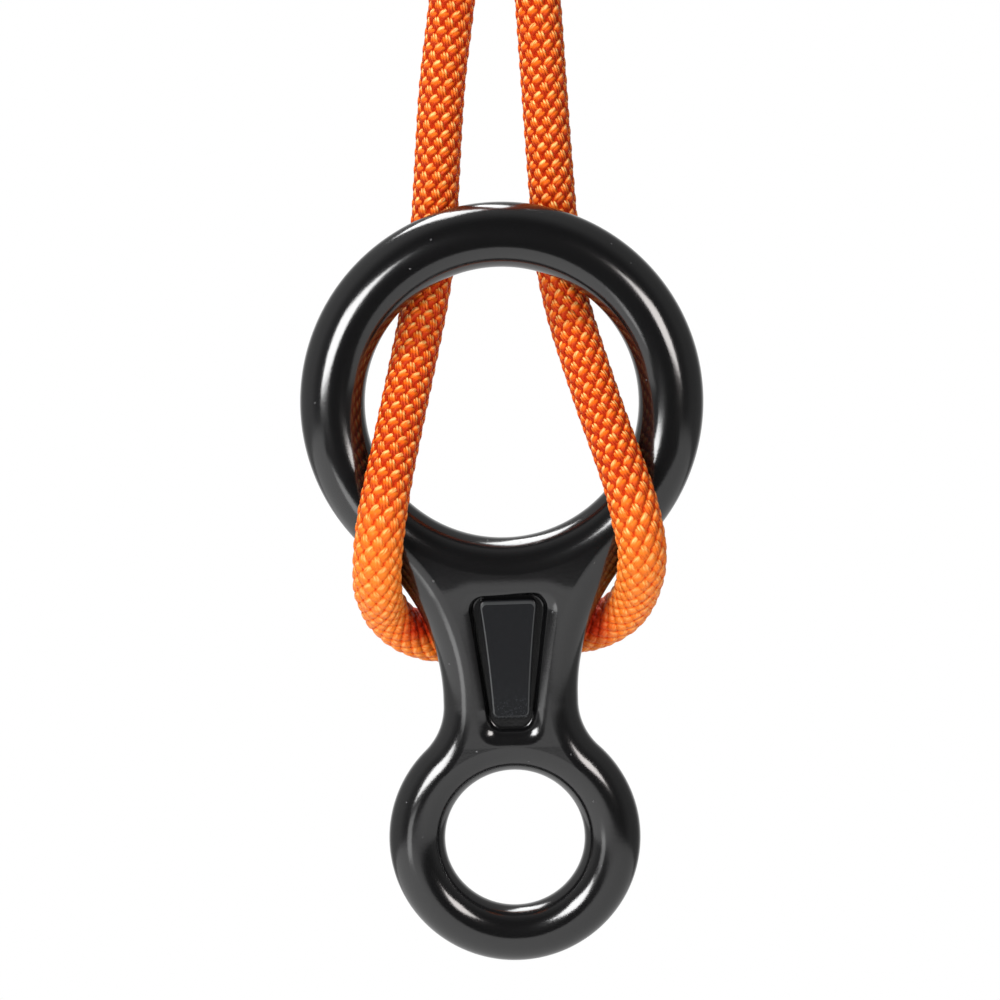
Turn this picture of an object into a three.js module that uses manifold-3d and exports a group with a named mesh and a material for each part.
// Figure eight descender hanging on a rope that is threaded through it.
// Millimetres, +Z up. The origin is where a hook bears, at the top of the eye's bore.
import * as THREE from 'three';
import { mergeVertices } from 'three/addons/utils/BufferGeometryUtils.js';
import Module from 'manifold-3d';

const wasm = await Module();
wasm.setup();

// Driving dimensions
const seatGap = 0.3; // clearance between two pieces that touch
const cutOverrun = 3; // how far a cut runs past the surface that it opens

const largeRing = { outerRadius: 40, barRadius: 6.43 };
const smallRing = { outerRadius: 25.3, barRadius: 5.63 };
const ringSpacing = 88.4; // between the two ring centres

const neck = {
  width: 27, // at the waist
  upperThickness: 12.6, // where it leaves the large ring
  lowerThickness: 11.2, // where it meets the small ring
  upperFlareRadius: 40,
  lowerFlareRadius: 13,
};

const pocket = {
  drop: 37.7, // from the large ring's centre down to the pocket's upper end
  length: 30.6,
  upperWidth: 17,
  lowerWidth: 9,
  cornerRadius: 3.2,
  depth: 2.2,
  floorRadius: 0.9, // fillet between the floor and the wall
  rimChamfer: 0.8,
};

// The margins are from the pocket's rim to the plate's edge
const plate = {
  topMargin: 2.2,
  bottomMargin: 4.4,
  upperSideMargin: 2.45,
  lowerSideMargin: 1.45,
  cornerRadius: 1.4,
  thickness: 1.6,
  edgeBevel: 0.4,
};

// How the forging hangs: its top leans forward and its foot swings to the right
const hang = { x: 0.8, y: -6.3, drop: 201.5 }; // the large ring's centre, from the origin
const hangTilt = THREE.MathUtils.degToRad(9.3);
const hangRoll = THREE.MathUtils.degToRad(-1.75);

const rope = { diameter: 9, sheathThickness: 1.85 };

// The rope's centreline, from its end inside the sleeve down the right strand, behind the
// neck, up the left strand, round the eye and back down to the sleeve
const ropeRoute = [
  [4.65, 0, -54], [4.65, 0, -72], [8, 0, -120.9], [11.9, 0.1, -170.5], [13.5, -1.9, -180.5],
  [19.2, -7.8, -199.4], [25.8, -14.1, -218.7], [27.3, -14.2, -224.5], [28.4, -12.2, -229.9],
  [28.4, -8.4, -234.5], [27.6, -1.9, -238.9], [25.2, 4.5, -242.9], [20, 9.7, -246],
  [10.6, 12.9, -247.7], [-7, 13, -248.8], [-14.4, 10.6, -248.4], [-19.5, 6.4, -246.1],
  [-22.6, 0.5, -242.4], [-23.8, -6.9, -238.3], [-23.7, -11.9, -232.5], [-23.1, -14.1, -226.5],
  [-22, -14, -219.5], [-14.4, -1.66, -180.5], [-13.1, 0.12, -170.5], [-11.1, 0, -138],
  [-9.15, 0, -120.9], [-4.65, 0, -72], [-4.65, 0, -54], [-4.65, 0, -38], [-5.7, 0, -31],
  [-14.9, 0, -15.2], [-15.4, 0, -5.1], [-9.6, 0, 3.3], [0, 0, 6.5], [9.6, 0, 3.3],
  [15.4, 0, -5.1], [14.9, 0, -15.2], [5.7, 0, -31], [4.65, 0, -38], [4.65, 0, -53],
];




const thimble = {
  boreRadius: 9.5,
  wall: 1.5, // between the bore and the bottom of the groove
  width: 12.6, // along the bore
  lip: 3.3, // how far the flanges stand above the bottom of the groove
  grooveClearance: 0.5, // around the rope
};

const sleeve = {
  drop: 36.5, // from the origin to its upper end
  length: 36.5,
  wall: 1.1,
  sideClearance: 0.4, // beside the two strands
};

const stitch = {
  threadRadius: 0.35,
  reach: 2.2, // how far the thread swings to each side of the seam
  pitch: 2.9, // from one crossing to the next
  endMargin: 0.8, // from the sleeve's ends to the seam
};

// Facets
const ringSteps = 64;
const barSteps = 16;
const arcSteps = 12;
const sideSteps = 8;
const edgeSteps = 2;
const ropeSides = 12;
const coreSides = 8;
const ropeStepsPerPoint = 2;
const threadSides = 6;
const threadStepsPerCrossing = 3;
const latheSteps = 40;

// Sizes that follow from the ones above
const largeMidRadius = largeRing.outerRadius - largeRing.barRadius;
const smallMidRadius = smallRing.outerRadius - smallRing.barRadius;
const halfWaist = neck.width / 2;
const ropeRadius = rope.diameter / 2;
const sheathBore = ropeRadius - rope.sheathThickness;
const strandOffset = ropeRadius + seatGap / 2; // two strands side by side
const crossings = Math.floor((sleeve.length - 2 * stitch.endMargin) / stitch.pitch);

// Finishes
const blackAnodised = { color: 0x17181a, roughness: 0.25, metalness: 0.6 };
const satinBadge = { color: 0x141517, roughness: 0.45, metalness: 0 };
const orangeSheath = { color: 0xf07818, roughness: 0.8, metalness: 0 };
const whiteCore = { color: 0xe8e6df, roughness: 0.9, metalness: 0 };
const shrinkTube = { color: 0x1c1c1e, roughness: 0.55, metalness: 0 };
const blackThread = { color: 0x202022, roughness: 0.8, metalness: 0 };
const stainless = { color: 0xb9bcc0, roughness: 0.35, metalness: 1 };

function piece(name, geometry, finish) {
  const mesh = new THREE.Mesh(geometry, new THREE.MeshStandardMaterial(finish));
  mesh.name = name;
  return mesh;
}

// A closed geometry as a solid that can be joined and cut
function toSolid(geometry) {
  const bare = geometry.clone();
  bare.deleteAttribute('normal');
  bare.deleteAttribute('uv');
  const merged = mergeVertices(bare);
  const vertProperties = Float32Array.from(merged.attributes.position.array);
  const triVerts = Uint32Array.from(merged.index.array);
  return new wasm.Manifold(new wasm.Mesh({ numProp: 3, vertProperties, triVerts }));
}

// A solid as a geometry
function toGeometry(solid) {
  const mesh = solid.getMesh();
  const geometry = new THREE.BufferGeometry();
  geometry.setAttribute('position', new THREE.BufferAttribute(mesh.vertProperties, mesh.numProp));
  geometry.setIndex(new THREE.BufferAttribute(mesh.triVerts, 1));
  geometry.computeVertexNormals();
  return geometry;
}

// Stands what was drawn in X and Y upright in X and Z, with its depth towards -Y
function upright(geometry) {
  return geometry.rotateX(Math.PI / 2);
}

// A ring of round bar
function ringGeometry(midRadius, barRadius, drop) {
  return upright(new THREE.TorusGeometry(midRadius, barRadius, barSteps, ringSteps)).translate(0, 0, -drop);
}

// The arc of a flare that leaves the waist upright and meets a ring's outer circle smoothly
function flare(outerRadius, radius) {
  const x = halfWaist + radius;
  const reach = outerRadius + radius;
  const rise = Math.sqrt(reach ** 2 - x ** 2);
  return { x, rise, radius, angle: Math.atan2(rise, x) };
}

// Points down the neck's side: the upper flare, the waist and the lower flare
function neckSide() {
  const upper = flare(largeRing.outerRadius, neck.upperFlareRadius);
  const lower = flare(smallRing.outerRadius, neck.lowerFlareRadius);
  const points = [];
  for (let i = 0; i <= arcSteps; i += 1) {
    const angle = upper.angle * (1 - i / arcSteps);
    points.push([upper.x - upper.radius * Math.cos(angle), upper.radius * Math.sin(angle) - upper.rise]);
  }
  for (let i = 0; i <= arcSteps; i += 1) {
    const angle = lower.angle * (i / arcSteps);
    const height = lower.rise - ringSpacing - lower.radius * Math.sin(angle);
    points.push([lower.x - lower.radius * Math.cos(angle), height]);
  }
  return points;
}

// Half the neck's thickness at a depth below the large ring's centre
function halfThicknessAt(drop) {
  const top = largeMidRadius;
  const bottom = ringSpacing - smallMidRadius;
  const share = THREE.MathUtils.clamp((drop - top) / (bottom - top), 0, 1);
  return THREE.MathUtils.lerp(neck.upperThickness, neck.lowerThickness, share) / 2;
}

// A closed skin over level sections that have the same number of corners each
function loft(sections) {
  const corners = sections[0].length;
  const positions = sections.flat(2);
  const index = [];
  for (let row = 0; row + 1 < sections.length; row += 1) {
    for (let i = 0; i < corners; i += 1) {
      const here = row * corners + i;
      const next = row * corners + ((i + 1) % corners);
      index.push(here, here + corners, next, next, here + corners, next + corners);
    }
  }
  const last = (sections.length - 1) * corners;
  for (let i = 1; i + 1 < corners; i += 1) {
    index.push(0, i, i + 1, last, last + i + 1, last + i);
  }
  const geometry = new THREE.BufferGeometry();
  geometry.setAttribute('position', new THREE.Float32BufferAttribute(positions, 3));
  geometry.setIndex(index);
  return geometry;
}

// The neck: full round sides, and faces that draw in from the large ring to the small one
function neckGeometry() {
  const sections = neckSide().map(([halfWidth, height]) => {
    const halfThickness = halfThicknessAt(-height);
    const flat = halfWidth - halfThickness;
    return Array.from({ length: 2 * (sideSteps + 1) }, (_, i) => {
      const side = i <= sideSteps ? 1 : -1;
      const angle = (i - (i > sideSteps ? 1 : 0)) * (Math.PI / sideSteps) - Math.PI / 2;
      return [side * flat + halfThickness * Math.cos(angle), halfThickness * Math.sin(angle), height];
    });
  });
  return loft(sections);
}

// A solid cylinder that fills a ring out to the middle of its bar
function ringFill(midRadius, drop) {
  const length = neck.upperThickness + 2 * cutOverrun;
  return new THREE.CylinderGeometry(midRadius, midRadius, length, ringSteps).translate(0, 0, -drop);
}

// An outline that tapers downwards and has round corners
function taperedShape({ drop, length, upperWidth, lowerWidth, cornerRadius }) {
  const corners = [
    new THREE.Vector2(-upperWidth / 2, -drop),
    new THREE.Vector2(-lowerWidth / 2, -drop - length),
    new THREE.Vector2(lowerWidth / 2, -drop - length),
    new THREE.Vector2(upperWidth / 2, -drop),
  ];
  const shape = new THREE.Shape();
  corners.forEach((corner, i) => {
    const back = corners.at(i - 1).clone().sub(corner).normalize();
    const ahead = corners[(i + 1) % corners.length].clone().sub(corner).normalize();
    const half = back.angleTo(ahead) / 2;
    const middle = back.clone().add(ahead).setLength(cornerRadius / Math.sin(half));
    const centre = corner.clone().add(middle);
    const run = cornerRadius / Math.tan(half);
    const start = corner.clone().addScaledVector(back, run).sub(centre).angle();
    const end = corner.clone().addScaledVector(ahead, run).sub(centre).angle();
    shape.absarc(centre.x, centre.y, cornerRadius, start, end, false);
  });
  return shape;
}

// How far in front of the forging's middle plane the neck's face lies, mid pocket
function faceDepth() {
  return halfThicknessAt(pocket.drop + pocket.length / 2);
}

// How far in front of the forging's middle plane the pocket's floor lies
function floorDepth() {
  return faceDepth() - pocket.depth;
}

// What is cut away for the pocket: the recess itself and the chamfer round its rim
function pocketCutters() {
  const shape = taperedShape(pocket);
  const recess = new THREE.ExtrudeGeometry(shape, {
    depth: pocket.depth + cutOverrun,
    curveSegments: arcSteps / 2,
    bevelThickness: pocket.floorRadius,
    bevelSize: pocket.floorRadius,
    bevelOffset: -pocket.floorRadius,
    bevelSegments: edgeSteps,
  }).translate(0, 0, floorDepth() + pocket.floorRadius);
  const rim = new THREE.ExtrudeGeometry(shape, {
    depth: cutOverrun,
    curveSegments: arcSteps / 2,
    bevelThickness: pocket.rimChamfer,
    bevelSize: pocket.rimChamfer,
    bevelSegments: 1,
  }).translate(0, 0, faceDepth());
  return [upright(recess), upright(rim)];
}

// The forging: two rings and the neck in one, with the pocket cut into its front. The neck
// ends at the middle of each ring's bar, so that the bars stay round inside the rings.
function descenderBody() {
  const largeBar = toSolid(ringGeometry(largeMidRadius, largeRing.barRadius, 0));
  const smallBar = toSolid(ringGeometry(smallMidRadius, smallRing.barRadius, ringSpacing));
  const neckSolid = toSolid(neckGeometry())
    .subtract(toSolid(ringFill(largeMidRadius, 0)))
    .subtract(toSolid(ringFill(smallMidRadius, ringSpacing)));
  let solid = largeBar.add(smallBar).add(neckSolid);
  pocketCutters().forEach((cutter) => {
    solid = solid.subtract(toSolid(cutter));
  });
  return piece('descender_body', toGeometry(solid), blackAnodised);
}

// The pocket's width at a drop below the large ring's centre
function pocketWidthAt(drop) {
  return THREE.MathUtils.mapLinear(
    drop,
    pocket.drop,
    pocket.drop + pocket.length,
    pocket.upperWidth,
    pocket.lowerWidth,
  );
}

// The plate's outline, set in from the pocket's rim by the plate's margins
function plateShape() {
  const drop = pocket.drop + plate.topMargin;
  const length = pocket.length - plate.topMargin - plate.bottomMargin;
  return taperedShape({
    drop,
    length,
    upperWidth: pocketWidthAt(drop) - 2 * plate.upperSideMargin,
    lowerWidth: pocketWidthAt(drop + length) - 2 * plate.lowerSideMargin,
    cornerRadius: plate.cornerRadius,
  });
}

// The bare plate that sits in the pocket
function namePlate() {
  const geometry = new THREE.ExtrudeGeometry(plateShape(), {
    depth: plate.thickness - 2 * plate.edgeBevel,
    curveSegments: arcSteps / 2,
    bevelThickness: plate.edgeBevel,
    bevelSize: plate.edgeBevel,
    bevelOffset: -plate.edgeBevel,
    bevelSegments: edgeSteps,
  });
  geometry.translate(0, 0, floorDepth() + seatGap + plate.edgeBevel);
  return piece('name_plate', upright(geometry), satinBadge);
}

// A smooth curve through points, stepped evenly from point to point, so that its steps are
// short in the bends, where the points are close, and long on the straights
class PointSteppedCurve extends THREE.CatmullRomCurve3 {
  getUtoTmapping(u) {
    return u;
  }
}

function regularOutline(OutlineType, sides, radius) {
  const corners = Array.from({ length: sides }, (_, i) => {
    const angle = (i * 2 * Math.PI) / sides;
    return new THREE.Vector2(radius * Math.cos(angle), radius * Math.sin(angle));
  });
  return new OutlineType(corners);
}

function alongRope(shape) {
  const curve = new PointSteppedCurve(ropeRoute.map((point) => new THREE.Vector3(...point)));
  const steps = ropeStepsPerPoint * (ropeRoute.length - 1);
  return new THREE.ExtrudeGeometry(shape, { extrudePath: curve, steps, bevelEnabled: false });
}

function ropeSheath() {
  const shape = regularOutline(THREE.Shape, ropeSides, ropeRadius);
  shape.holes.push(regularOutline(THREE.Path, coreSides, sheathBore));
  return piece('rope_sheath', alongRope(shape), orangeSheath);
}

function ropeCore() {
  const shape = regularOutline(THREE.Shape, coreSides, sheathBore - seatGap);
  return piece('rope_core', alongRope(shape), whiteCore);
}

// The grooved bush that keeps the eye round, with its bore along Y
function eyeThimble() {
  const grooveRadius = ropeRadius + thimble.grooveClearance;
  const grooveBottom = thimble.boreRadius + thimble.wall;
  const lipRadius = grooveBottom + thimble.lip;
  const lipAngle = Math.acos((grooveRadius - thimble.lip) / grooveRadius);
  const profile = new THREE.Path();
  profile.moveTo(thimble.boreRadius, -thimble.width / 2);
  profile.lineTo(lipRadius, -thimble.width / 2);
  profile.absarc(grooveBottom + grooveRadius, 0, grooveRadius, Math.PI + lipAngle, Math.PI - lipAngle, true);
  profile.lineTo(lipRadius, thimble.width / 2);
  profile.lineTo(thimble.boreRadius, thimble.width / 2);
  profile.closePath();
  const geometry = new THREE.LatheGeometry(profile.getPoints(arcSteps / 2), latheSteps);
  geometry.translate(0, 0, -thimble.boreRadius);
  return piece('eye_thimble', geometry, stainless);
}

// How far the thread lies in front of the seam's middle, in the valley between the strands
function threadDepth() {
  const clear = ropeRadius + seatGap + stitch.threadRadius;
  return Math.sqrt(clear ** 2 - (strandOffset - stitch.reach) ** 2);
}

// A slot-shaped outline round the two strands
function strandsOutline(OutlineType, halfWidth, halfThickness) {
  const centre = halfWidth - halfThickness;
  const outline = new OutlineType();
  outline.absarc(centre, 0, halfThickness, -Math.PI / 2, Math.PI / 2, false);
  outline.absarc(-centre, 0, halfThickness, Math.PI / 2, Math.PI * 1.5, false);
  return outline;
}

// The shrunk-on tube over the seam
function seamSleeve() {
  const halfWidth = strandOffset + ropeRadius + sleeve.sideClearance;
  const halfThickness = threadDepth() + stitch.threadRadius + seatGap;
  const shape = strandsOutline(THREE.Shape, halfWidth + sleeve.wall, halfThickness + sleeve.wall);
  shape.holes.push(strandsOutline(THREE.Path, halfWidth, halfThickness));
  const options = { depth: sleeve.length, curveSegments: arcSteps, bevelEnabled: false };
  const geometry = new THREE.ExtrudeGeometry(shape, options);
  geometry.translate(0, 0, -sleeve.drop - sleeve.length);
  return piece('seam_sleeve', geometry, shrinkTube);
}

// The zigzag of thread on one side of the seam, front or back
function seamStitch(name, side) {
  const top = -sleeve.drop - (sleeve.length - stitch.pitch * crossings) / 2;
  const points = Array.from({ length: crossings + 1 }, (_, i) => {
    const swing = i % 2 ? stitch.reach : -stitch.reach;
    return new THREE.Vector3(swing, side * threadDepth(), top - i * stitch.pitch);
  });
  const shape = regularOutline(THREE.Shape, threadSides, stitch.threadRadius);
  const geometry = new THREE.ExtrudeGeometry(shape, {
    extrudePath: new PointSteppedCurve(points),
    steps: threadStepsPerCrossing * crossings,
    bevelEnabled: false,
  });
  return piece(name, geometry, blackThread);
}

const forging = new THREE.Group();
forging.position.set(hang.x, hang.y, -hang.drop);
forging.rotation.set(hangTilt, hangRoll, 0, 'YXZ');
forging.add(descenderBody(), namePlate());

const descender = new THREE.Group();
descender.add(
  forging,
  ropeSheath(),
  ropeCore(),
  eyeThimble(),
  seamSleeve(),
  seamStitch('seam_stitch_front', -1),
  seamStitch('seam_stitch_back', 1),
);

export default descender;
